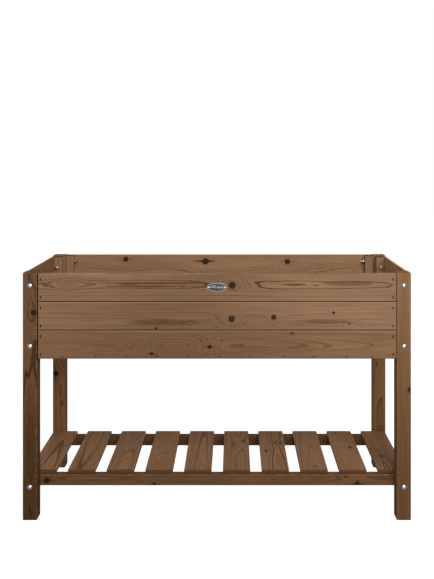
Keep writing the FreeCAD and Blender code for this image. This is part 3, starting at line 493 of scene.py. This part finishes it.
BACK_BOARDS = {
    "back_board_top": dict(
        early=PANEL_EARLY, pith=(0, -0.020, -0.046), wander=0.008, depth=0.7,
        knots=[(-0.339, 0.0272, 0.0090, 0.3), (-0.050, 0.0200, 0.0115, 0.9),
               (0.246, 0.0180, 0.0095, 0.3)],
        figures=[(-0.330, 0.020, 0.130, 0.034, 0.010), (0.020, 0.004, 0.100, 0.030, 0.020),
                 (0.270, 0.004, 0.090, 0.028, 0.016)]),
    "back_board_middle": dict(
        early=PANEL_EARLY, pith=(0, 0.010, -0.045), tilt=(0, 0, 0.012), ring=0.0032, depth=0.8,
        knots=[(0.300, 0.010, 0.006, 0.6), (-0.220, -0.018, 0.007, 0)]),
    "back_board_bottom": dict(
        early=PANEL_EARLY, pith=(0, -0.006, -0.038), tilt=(0, 0, 0.010), ring=0.0030, depth=0.8,
        knots=[(0.080, 0.014, 0.008, 0), (-0.410, 0.0, 0.004, 0.7)]),
}
# Staples: from a board's ends, and above its lower edge.
STAPLE_INSET = 10 * MM
STAPLE_HEIGHTS = (13 * MM, 68 * MM)
# Half the dark mark round a staple, along and across the board.
STAPLE_MARK = (1.8 * MM, 4.6 * MM)


def end_staples(node, axis):
    """Two rows of two staples: one staple at each end of a board."""
    low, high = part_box(node)
    half_long = (high - low)[axis] / 2
    half_tall = (high.z - low.z) / 2
    reach = half_long - STAPLE_INSET
    return [(reach, up - half_tall, 2 * reach, *STAPLE_MARK) for up in STAPLE_HEIGHTS]


# Painted shade down the left end of each front board where it meets the left leg: a dark band in
# place of the shadow in the gap.
LEFT_JOINT_PAINTED_SHADE = (-0.5500, 0, FAR, 0.0028, 0.090)
for number, (node, grain) in enumerate({**FRONT_BOARDS, **BACK_BOARDS}.items()):
    marks = end_staples(node, 0) + ([LEFT_JOINT_PAINTED_SHADE] if node in FRONT_BOARDS else [])
    coat(node, pine("panel pine " + node, node, LIES_ALONG, late=PANEL_LATE,
                    seed=11.3 + number, groove=0.95, end=0.8, marks=marks, **grain))

# The side panels' wood is painted apart: darker on the left as painted shade on a face turned to
# the key light, and much paler on the right as painted light on a face turned away from it.
LEFT_EARLY_PAINTED_SHADE = linear(130, 94, 63)
RIGHT_EARLY_PAINTED_LIGHT = linear(172, 133, 97)
chance = random.Random(4)
for side, early in (("left", LEFT_EARLY_PAINTED_SHADE), ("right", RIGHT_EARLY_PAINTED_LIGHT)):
    for row in ("top", "middle", "bottom"):
        node = "%s_board_%s" % (side, row)
        knots = [(chance.uniform(-0.15, 0.15), chance.uniform(-0.03, 0.03),
                  chance.uniform(0.003, 0.008), 0.4)]
        coat(node, pine("panel pine " + node, node, LIES_BESIDE, early, PANEL_LATE,
                        chance.uniform(20, 40), groove=0.95, end=0.8,
                        pith=(0, chance.uniform(-0.02, 0.02), -0.04),
                        tilt=(0, 0, chance.uniform(-0.04, 0.04)), wander=0.03, depth=0.8,
                        knots=knots, marks=end_staples(node, 1)))


# ---------------------------------------------------------------- corner battens
# Square pine battens behind the ends of each panel. The boards are stapled to
# them, and a bolt through the leg draws each one up against the leg.

BATTEN_ENDS = {"front": ("left", "right"), "back": ("left", "right"),
               "left": ("front", "back"), "right": ("front", "back")}
BATTENS = [panel + "_batten_" + end for panel, ends in BATTEN_ENDS.items() for end in ends]
for number, node in enumerate(BATTENS):
    coat(node, pine("batten pine " + node, node, STANDS, PANEL_EARLY, PANEL_LATE, 41 + number,
                    pith=(0, chance.uniform(-0.03, 0.03), 0.03), tilt=(0, 0.01, 0.02)))


# ---------------------------------------------------------------- floor
# Rough boards laid from front to back on two ledgers, which are stapled along the
# feet of the long panels. Gaps between the boards let the water out.

for number, node in enumerate(("front_floor_ledger", "back_floor_ledger")):
    coat(node, pine("ledger pine " + node, node, LIES_ALONG, PANEL_EARLY, PANEL_LATE, 51 + number))
FLOOR_BOARDS = sorted(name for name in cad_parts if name.startswith("floor_board_"))
for number, node in enumerate(FLOOR_BOARDS):
    coat(node, pine("floor pine " + node, node, LIES_ACROSS, PANEL_EARLY, PANEL_LATE, 55 + number,
                    pith=(0, chance.uniform(-0.03, 0.03), -0.04),
                    tilt=(0, 0, chance.uniform(-0.06, 0.06)),
                    knots=[(chance.uniform(-0.18, 0.18), chance.uniform(-0.03, 0.03),
                            chance.uniform(0.003, 0.009), 0.3)]))


# ---------------------------------------------------------------- shelf
# Two pine rails bolted behind the legs, and ten flat slats nailed across them with a
# gap between each. The rails stand in the slats' shade, and their wood is painted the darkest of
# all as painted shade.

RAIL_LATE = linear(68, 44, 25)
# Each rail: its lighter wood and its knots.
RAILS = {
    "front_shelf_rail": (linear(101, 71, 45),
                         [(-0.531, -0.001, 0.0085, 0.5), (-0.196, -0.014, 0.0065, 0.6),
                          (0.437, -0.012, 0.0080, 0.6), (0.400, 0.010, 0.0030, 0.8)]),
    "back_shelf_rail": (linear(93, 65, 41), [(0.150, 0.004, 0.005, 0.7)]),
}
for number, (node, (early, knots)) in enumerate(RAILS.items()):
    coat(node, pine("rail pine " + node, node, LIES_ALONG, early, RAIL_LATE, 71 + number,
                    pith=(0, 0.004, 0.03), tilt=(0, 0.003, 0.006), wander=0.02, knots=knots))

SLAT_EARLY = linear(136, 100, 69)
SLAT_LATE = linear(78, 50, 28)
# Knots of the slats: from the middle towards the back, and towards the left.
SLAT_KNOTS = {
    6: [(0.068, -0.026, 0.0065, 0.5)],
    7: [(0.050, -0.029, 0.0065, 0.5), (-0.018, 0.023, 0.0070, 0.4)],
    9: [(0.013, -0.018, 0.0065, 0.5)],
    10: [(-0.062, 0.013, 0.0050, 0.5)],
}
# Where the rings of some slats close in figures: along, across, reach, and rise.
SLAT_FIGURES = {
    3: [(0.050, 0.0, 0.060, 0.016, 0.020)],
    4: [(0.030, 0.004, 0.065, 0.016, 0.028)],
    6: [(0.020, 0.0, 0.050, 0.012, 0.016)],
    9: [(-0.040, 0.0, 0.060, 0.018, 0.026)],
}
SLATS = sorted(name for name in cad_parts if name.startswith("shelf_slat_"))
for number, node in enumerate(SLATS, start=1):
    coat(node, pine("slat pine " + node, node, LIES_ACROSS, SLAT_EARLY, SLAT_LATE, 81 + number,
                    pith=(0, chance.uniform(-0.018, 0.018), chance.uniform(-0.05, -0.03)),
                    tilt=(0, chance.uniform(-0.01, 0.01), chance.uniform(-0.03, 0.03)),
                    wander=0.016, ring=0.0026, depth=1.4, knots=SLAT_KNOTS.get(number, ()),
                    figures=SLAT_FIGURES.get(number, ())))


# ---------------------------------------------------------------- staples and nails
# Steel wire staples and small nails, driven just below the wood. They have gone
# dull, and stain has run into their marks.

def metal(name, colour, rough, uneven, patch, bump):
    """A metal whose roughness and tone change from place to place."""
    material = bpy.data.materials.new(name)
    material.use_nodes = True
    tree = material.node_tree
    shader = tree.nodes["Principled BSDF"]
    coords = tree.nodes.new("ShaderNodeTexCoord").outputs["Object"]
    cloud = noise(tree, coords, (patch, patch, patch), (0.3, 0.7, 0.1), 4.0)[0]
    grain = noise(tree, coords, (patch * 9, patch * 9, patch * 9), (0.9, 0.2, 0.4), 2.0)[0]
    dull = tuple(part * 0.55 for part in colour[:3]) + (1,)
    wire(tree, shader.inputs["Base Color"],
         blend_colour(tree, ramp(tree, cloud, 0.35, 0.72), colour, dull))
    wire(tree, shader.inputs["Roughness"],
         calc(tree, "MULTIPLY_ADD", cloud, uneven, rough - uneven / 2))
    height = add(tree, "ShaderNodeBump", {"Height": grain, "Distance": bump, "Strength": 0.5})
    wire(tree, shader.inputs["Normal"], height.outputs[0])
    shader.inputs["Metallic"].default_value = 1.0
    return material


WIRE_STEEL = metal("dull wire steel", (0.022, 0.017, 0.013, 1), 0.6, 0.2, 900, 0.00003)
for node in ("board_staples", "ledger_staples", "slat_nails"):
    coat(node, WIRE_STEEL)


# ---------------------------------------------------------------- carriage bolts
# M6 carriage bolts of zinc plated steel: a domed head on the outside, and a
# threaded end that stands out of its nut on the inside of the corner.

ZINC = metal("bright zinc plate", (0.58, 0.61, 0.64, 1), 0.24, 0.14, 260, 0.00002)
BOLT_RADIUS = 3.0 * MM
BOLT_HEAD_RADIUS = 8.25 * MM
BOLT_HEAD_TALL = 3.6 * MM
BOLT_INSET = 21 * MM
THREAD_PITCH = 1.0 * MM
THREAD_DEEP = 0.45 * MM
THREAD_LONG = 24 * MM
THREAD_STEPS = 14
THREAD_START = 0.5 * MM
HEAD_STEPS = 8
BOLT_STEPS = 24
SHARP_CORNER = math.radians(40)


def finish_piece(name, work, material, node):
    """A finished mesh as a piece that rides on the planter and stands for a CAD node."""
    bmesh.ops.recalc_face_normals(work, faces=work.faces)
    mesh = bpy.data.meshes.new(name)
    work.to_mesh(mesh)
    work.free()
    mesh.materials.append(material)
    piece = bpy.data.objects.new(name, mesh)
    scene.collection.objects.link(piece)
    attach(piece, "root")
    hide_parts(node)
    return piece


def spin_profile(work, points, steps):
    """Turn an outline of (radius, height) points round the z axis, closed at its poles."""
    outline = [work.verts.new((radius, 0, height)) for radius, height in points]
    edges = [work.edges.new(pair) for pair in zip(outline, outline[1:])]
    bmesh.ops.spin(work, geom=outline + edges, cent=(0, 0, 0), axis=(0, 0, 1),
                   angle=math.tau, steps=steps, use_merge=True, dvec=(0, 0, 0))
    bmesh.ops.remove_doubles(work, verts=work.verts, dist=1e-6)


def add_bolt(work, place, length):
    """One carriage bolt: its head under z = 0 and its shank up the z axis, then placed."""
    bolt = bmesh.new()
    dome = (BOLT_HEAD_RADIUS ** 2 + BOLT_HEAD_TALL ** 2) / (2 * BOLT_HEAD_TALL)
    reach = math.asin(BOLT_HEAD_RADIUS / dome)
    head = [(dome * math.sin(reach * step / HEAD_STEPS),
             dome - BOLT_HEAD_TALL - dome * math.cos(reach * step / HEAD_STEPS))
            for step in range(HEAD_STEPS + 1)]
    core = BOLT_RADIUS - THREAD_DEEP
    threaded = length - THREAD_LONG
    start = threaded + THREAD_START
    profile = head + [(BOLT_HEAD_RADIUS - 0.3 * MM, 0), (BOLT_RADIUS, 0),
                      (BOLT_RADIUS, threaded), (core, start),
                      (core, length - 0.4 * MM), (core - 0.5 * MM, length), (0, length)]
    spin_profile(bolt, profile, BOLT_STEPS)
    root = core - 0.1 * MM
    ridge = [bolt.verts.new((radius, 0, start + THREAD_PITCH * rise))
             for radius, rise in ((root, 0), (BOLT_RADIUS, 0.38), (BOLT_RADIUS, 0.50),
                                  (root, 0.88))]
    side = bolt.faces.new(ridge)
    turns = (THREAD_LONG - 3 * THREAD_START) / THREAD_PITCH
    steps = round(turns * THREAD_STEPS)
    bmesh.ops.spin(bolt, geom=[side] + list(side.edges) + ridge, cent=(0, 0, 0), axis=(0, 0, 1),
                   angle=math.tau * turns, steps=steps, dvec=(0, 0, THREAD_PITCH * turns / steps))
    bmesh.ops.transform(bolt, matrix=place, verts=bolt.verts)
    add_copy(work, bolt)


def add_copy(work, small):
    """Add a small mesh to a larger one."""
    mesh = bpy.data.meshes.new("part of a group")
    small.to_mesh(mesh)
    small.free()
    work.from_mesh(mesh)
    bpy.data.meshes.remove(mesh)


def toward(x, y, z, direction):
    """The matrix that puts the z axis at a place, along a direction."""
    turn = Vector((0, 0, 1)).rotation_difference(Vector(direction)).to_matrix().to_4x4()
    return Matrix.Translation((x, y, z)) @ turn


front_left_low, front_left_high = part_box("leg_front_left")
HALF_LENGTH = -front_left_low.x
HALF_DEPTH = -front_left_low.y
LEG = front_left_high.x - front_left_low.x
# How long each set of bolts is, under the head.
BOLT_SETS = {
    "side_panel_bolts": 80 * MM,
    "long_panel_bolts": 85 * MM,
    "shelf_rail_bolts": 80 * MM,
}
CORNERS = ((-1, -1), (1, -1), (1, 1), (-1, 1))


def bolt_heights(node):
    """The heights of a set of bolts: its lowest and highest, which may be one."""
    low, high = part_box(node)
    lowest = low.z + BOLT_HEAD_RADIUS
    highest = high.z - BOLT_HEAD_RADIUS
    return [lowest] if highest - lowest < BOLT_HEAD_RADIUS else [lowest, highest]


def bolt_spots(node, inward):
    """Places and directions of a set's bolts, at a distance in from the leg's face."""
    spots = []
    for x, y in CORNERS:
        for height in bolt_heights(node):
            if node == "long_panel_bolts":
                spots.append((x * (HALF_LENGTH - inward), y * (HALF_DEPTH - BOLT_INSET), height,
                              (-x, 0, 0)))
            else:
                spots.append((x * (HALF_LENGTH - BOLT_INSET), y * (HALF_DEPTH - inward), height,
                              (0, -y, 0)))
    return spots


for node, length in BOLT_SETS.items():
    work = bmesh.new()
    for x, y, z, direction in bolt_spots(node, 0):
        add_bolt(work, toward(x, y, z, direction), length)
    bolts = finish_piece("bolts_" + node, work, ZINC, node)
    bolts.data.shade_smooth()
    bolts.data.set_sharp_from_angle(angle=SHARP_CORNER)


# ---------------------------------------------------------------- washers and nuts
# A plain washer and a hexagon nut on the inner end of every bolt, zinc plated as
# the bolts are. The nuts' corners are turned off at an angle.

WASHER_RADIUS = 6 * MM
WASHER_THICK = 1.6 * MM
WASHER_HOLE = 3.2 * MM
WASHER_EASE = 0.25 * MM
WASHER_STEPS = 28
# A nut: from its middle to a flat, its height, the round its corners are turned to, its
# thread, and the mouth that leads into it.
NUT_FLAT = 5 * MM
NUT_TALL = 5 * MM
NUT_CROWN = 4.9 * MM
NUT_BORE = 2.95 * MM
NUT_MOUTH = 3.35 * MM
NUT_SIDES = 36
CHAMFER_SLOPE = math.tan(math.radians(30))


def add_washer(work, place):
    """A washer with eased rims, standing on z = 0, then placed."""
    washer = bmesh.new()
    inner = WASHER_HOLE
    outer = WASHER_RADIUS
    ease = WASHER_EASE
    profile = [(inner, ease), (inner + ease, 0), (outer - ease, 0), (outer, ease),
               (outer, WASHER_THICK - ease), (outer - ease, WASHER_THICK),
               (inner + ease, WASHER_THICK), (inner, WASHER_THICK - ease), (inner, ease)]
    spin_profile(washer, profile, WASHER_STEPS)
    bmesh.ops.transform(washer, matrix=place, verts=washer.verts)
    add_copy(work, washer)


def add_nut(work, place):
    """A hexagon nut with a chamfer at both ends, standing on z = 0, then placed."""
    nut = bmesh.new()

    def loop(radius_at, height_at):
        """A loop round the nut, with its radius by angle and its height by radius."""
        made = bmesh.ops.create_circle(nut, segments=NUT_SIDES, radius=1.0)
        for vert in made["verts"]:
            angle = math.atan2(vert.co.y, vert.co.x)
            radius = radius_at(angle)
            vert.co = (math.cos(angle) * radius, math.sin(angle) * radius, height_at(radius))
        return {edge for vert in made["verts"] for edge in vert.link_edges}

    def hexagon(angle):
        """The radius of the six flats."""
        return NUT_FLAT / math.cos((angle + math.tau / 12) % (math.tau / 6) - math.tau / 12)

    def crown(angle):
        """The radius of the turned end, which stays inside the flats."""
        return min(NUT_CROWN, hexagon(angle))

    mouth_deep = NUT_MOUTH - NUT_BORE
    loops = [loop(lambda angle: NUT_BORE, lambda radius: mouth_deep),
             loop(lambda angle: NUT_MOUTH, lambda radius: 0),
             loop(crown, lambda radius: 0),
             loop(hexagon, lambda radius: (radius - NUT_CROWN) * CHAMFER_SLOPE),
             loop(hexagon, lambda radius: NUT_TALL - (radius - NUT_CROWN) * CHAMFER_SLOPE),
             loop(crown, lambda radius: NUT_TALL),
             loop(lambda angle: NUT_MOUTH, lambda radius: NUT_TALL),
             loop(lambda angle: NUT_BORE, lambda radius: NUT_TALL - mouth_deep)]
    for first, second in zip(loops, loops[1:] + loops[:1]):
        bmesh.ops.bridge_loops(nut, edges=list(first | second))
    bmesh.ops.transform(nut, matrix=place, verts=nut.verts)
    add_copy(work, nut)


# The timber that each set of bolts goes through behind the leg, and which way, 0 along
# the planter and 1 across it.
TIMBER_BEHIND = {
    "side_panel_bolts": ("left_batten_front", 1),
    "long_panel_bolts": ("front_batten_left", 0),
    "shelf_rail_bolts": ("front_shelf_rail", 1),
}
washers = bmesh.new()
nuts = bmesh.new()
for node, (timber, way) in TIMBER_BEHIND.items():
    low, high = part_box(timber)
    stack = LEG + (high - low)[way]
    for x, y, z, direction in bolt_spots(node, stack):
        add_washer(washers, toward(x, y, z, direction))
    for x, y, z, direction in bolt_spots(node, stack + WASHER_THICK):
        add_nut(nuts, toward(x, y, z, direction))
for name, work in (("washers", washers), ("hex_nuts", nuts)):
    piece = finish_piece("zinc_" + name, work, ZINC, name)
    piece.data.shade_smooth()
    piece.data.set_sharp_from_angle(angle=math.radians(35))


# ---------------------------------------------------------------- name plate
# A thin oval plate pinned to the top front board. It carries two plain sprigs of
# leaves in relief and no lettering.

PLATE_HALF = (31 * MM, 13.5 * MM)
PLATE_THICK = 1.0 * MM
RIM_WIDE = 1.7 * MM
RIM_TALL = 0.4 * MM
PLATE_SIDES = 72
PLATE_EASE = 0.3 * MM
LEAF_PAIRS = 5
LEAF_LEAN = math.radians(48)
LEAF_WIDE = 3.4 * MM
# From the plate's middle to a sprig's first leaves, and from one pair to the next.
FIRST_LEAF = 2.5 * MM
LEAF_STEP = 4.6 * MM
STEM_LONG = 21 * MM
STEM_WIDE = 0.9 * MM


def add_ellipse(work, shrink, height):
    """A loop of the plate's outline, shrunk by a width and lifted to a height."""
    made = bmesh.ops.create_circle(work, segments=PLATE_SIDES, radius=1.0)
    long_half, short_half = (half - shrink for half in PLATE_HALF)
    for vert in made["verts"]:
        vert.co = (vert.co.x * long_half, vert.co.y * short_half, height)
    return {edge for vert in made["verts"] for edge in vert.link_edges}


def add_leaf(work, place, angle, long, wide):
    """A pointed leaf with a raised rib, lying on the plate from its stalk at a place."""
    outline = [(0, 0), (0.25, 0.75), (0.50, 1.0), (0.78, 0.62), (1, 0)]
    turn = Matrix.Translation((*place, PLATE_THICK - RIM_TALL)) @ Matrix.Rotation(angle, 4, "Z")
    ribs = [work.verts.new(turn @ Vector((along * long, 0, RIM_TALL * (1 if across else 0.2))))
            for along, across in outline]
    for side in (1, -1):
        edge = [work.verts.new(turn @ Vector((along * long, side * across * wide / 2, 0)))
                for along, across in outline[1:-1]]
        rim = [ribs[0]] + edge + [ribs[-1]]
        for step in range(len(ribs) - 1):
            corners = [ribs[step], ribs[step + 1], rim[step + 1], rim[step]]
            work.faces.new(dict.fromkeys(corners))


plate = bmesh.new()
field = PLATE_THICK - RIM_TALL
rings = [add_ellipse(plate, PLATE_EASE, 0), add_ellipse(plate, 0, PLATE_EASE),
         add_ellipse(plate, 0, PLATE_THICK - 0.2 * MM),
         add_ellipse(plate, 0.25 * MM, PLATE_THICK),
         add_ellipse(plate, RIM_WIDE, PLATE_THICK),
         add_ellipse(plate, RIM_WIDE + PLATE_EASE, field)]
for first, second in zip(rings, rings[1:]):
    bmesh.ops.bridge_loops(plate, edges=list(first | second))
bmesh.ops.edgeloop_fill(plate, edges=list(rings[0]))
bmesh.ops.edgeloop_fill(plate, edges=list(rings[-1]))
# Two sprigs from the middle outwards, each a stem with pairs of leaves.
for way in (1, -1):
    for step in range(LEAF_PAIRS):
        stalk = (way * (FIRST_LEAF + LEAF_STEP * step), STEM_WIDE * math.sin(1.3 * step))
        for side in (1, -1):
            angle = side * LEAF_LEAN if way > 0 else math.pi - side * LEAF_LEAN
            add_leaf(plate, stalk, angle, (8.0 - 0.7 * step) * MM, LEAF_WIDE)
    add_leaf(plate, (way * 19.5 * MM, 0), 0 if way > 0 else math.pi, 6.5 * MM, 3.2 * MM)
    stem = bmesh.ops.create_cube(plate, size=1.0)["verts"]
    bmesh.ops.scale(plate, vec=(STEM_LONG, STEM_WIDE, RIM_TALL), verts=stem)
    bmesh.ops.translate(plate, vec=(way * STEM_LONG / 2, 0, field + RIM_TALL / 2), verts=stem)
badge_low, badge_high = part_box("badge")
badge_place = Vector((0, badge_high.y, (badge_low.z + badge_high.z) / 2))
bmesh.ops.transform(plate, verts=plate.verts,
                    matrix=Matrix.Translation(badge_place) @ Matrix.Rotation(RIGHT_ANGLE, 4, "X"))

plate_metal = metal("worn silver plate", (0.29, 0.30, 0.31, 1), 0.42, 0.2, 500, 0.00002)
plate_tree = plate_metal.node_tree
plate_shader = plate_tree.nodes["Principled BSDF"]
bright = plate_shader.inputs["Base Color"].links[0].from_socket
plate_coords = add(plate_tree, "ShaderNodeSeparateXYZ",
                   {0: plate_tree.nodes["Texture Coordinate"].outputs["Object"]})
plate_face = badge_high.y - PLATE_THICK
sunk = ramp(plate_tree, plate_coords.outputs["Y"], plate_face + 0.18 * MM, plate_face + 0.36 * MM)
wire(plate_tree, plate_shader.inputs["Base Color"],
     blend_colour(plate_tree, sunk, bright, (0.045, 0.045, 0.047, 1)))
finish_piece("name_plate", plate, plate_metal, "badge")
coat("badge_pins", ZINC)


# ---------------------------------------------------------------- studio
# A plain pale floor, soft light from the front and above with weak fills from the
# sides and the back, and the camera in front of the planter.

bpy.ops.mesh.primitive_plane_add(size=24)
floor = bpy.context.object
floor.name = "studio_floor"
floor_material = bpy.data.materials.new("pale floor")
floor_material.use_nodes = True
floor_shader = floor_material.node_tree.nodes["Principled BSDF"]
floor_shader.inputs["Base Color"].default_value = (0.34, 0.32, 0.30, 1)
floor_shader.inputs["Roughness"].default_value = 0.9
floor_shader.inputs["Emission Color"].default_value = (1, 1, 1, 1)
floor_tree = floor_material.node_tree
floor_path = floor_tree.nodes.new("ShaderNodeLightPath")
glow = calc(floor_tree, "MULTIPLY", floor_path.outputs["Is Camera Ray"], 0.93)
wire(floor_tree, floor_shader.inputs["Emission Strength"], glow)
floor.data.materials.append(floor_material)

world = bpy.data.worlds.new("studio")
world.use_nodes = True
scene.world = world
sky = world.node_tree
background = sky.nodes["Background"]
path = sky.nodes.new("ShaderNodeLightPath")
fill = calc(sky, "MULTIPLY_ADD", path.outputs["Is Glossy Ray"], 0.30, 0.20)
brightness = calc(sky, "MAXIMUM", path.outputs["Is Camera Ray"], fill)
wire(sky, background.inputs["Strength"], brightness)
background.inputs["Color"].default_value = (1, 1, 1, 1)


def add_light(name, place, target, size, power, glossy=True):
    """A square soft box that faces a target, and shows in glossy surfaces or not."""
    data = bpy.data.lights.new(name, "AREA")
    data.size = size
    data.energy = power
    lamp = bpy.data.objects.new(name, data)
    lamp.location = place
    lamp.rotation_euler = (Vector(target) - Vector(place)).to_track_quat("-Z", "Y").to_euler()
    lamp.visible_glossy = glossy
    scene.collection.objects.link(lamp)


# Each light: its place, what it faces, its width, and its power.
add_light("key", (0.75, -2.2, 2.1), (0, 0, 0.55), 1.6, 70)
add_light("top", (0.2, -0.1, 2.4), (0, 0, 0.6), 1.2, 6)
add_light("low fill", (0.1, -3.0, 0.75), (0, 0, 0.4), 1.4, 26)
add_light("left fill", (-3.0, 0.3, 0.9), (0, 0, 0.6), 1.4, 22, False)
add_light("right fill", (3.0, 0.3, 0.9), (0, 0, 0.6), 1.4, 14, False)
add_light("back fill", (0, 3.0, 0.6), (0, 0, 0.5), 1.6, 20, False)

camera_data = bpy.data.cameras.new("camera")
camera = bpy.data.objects.new("camera", camera_data)
camera.location = (0.0497, -2.586, 1.127)
camera.rotation_euler = (RIGHT_ANGLE, 0, 0)
camera_data.lens = 48.04
camera_data.sensor_width = 36
camera_data.shift_x = -0.0278
camera_data.shift_y = -0.2368
camera_data.clip_end = 60
scene.collection.objects.link(camera)
scene.camera = camera
scene.view_settings.view_transform = "Standard"
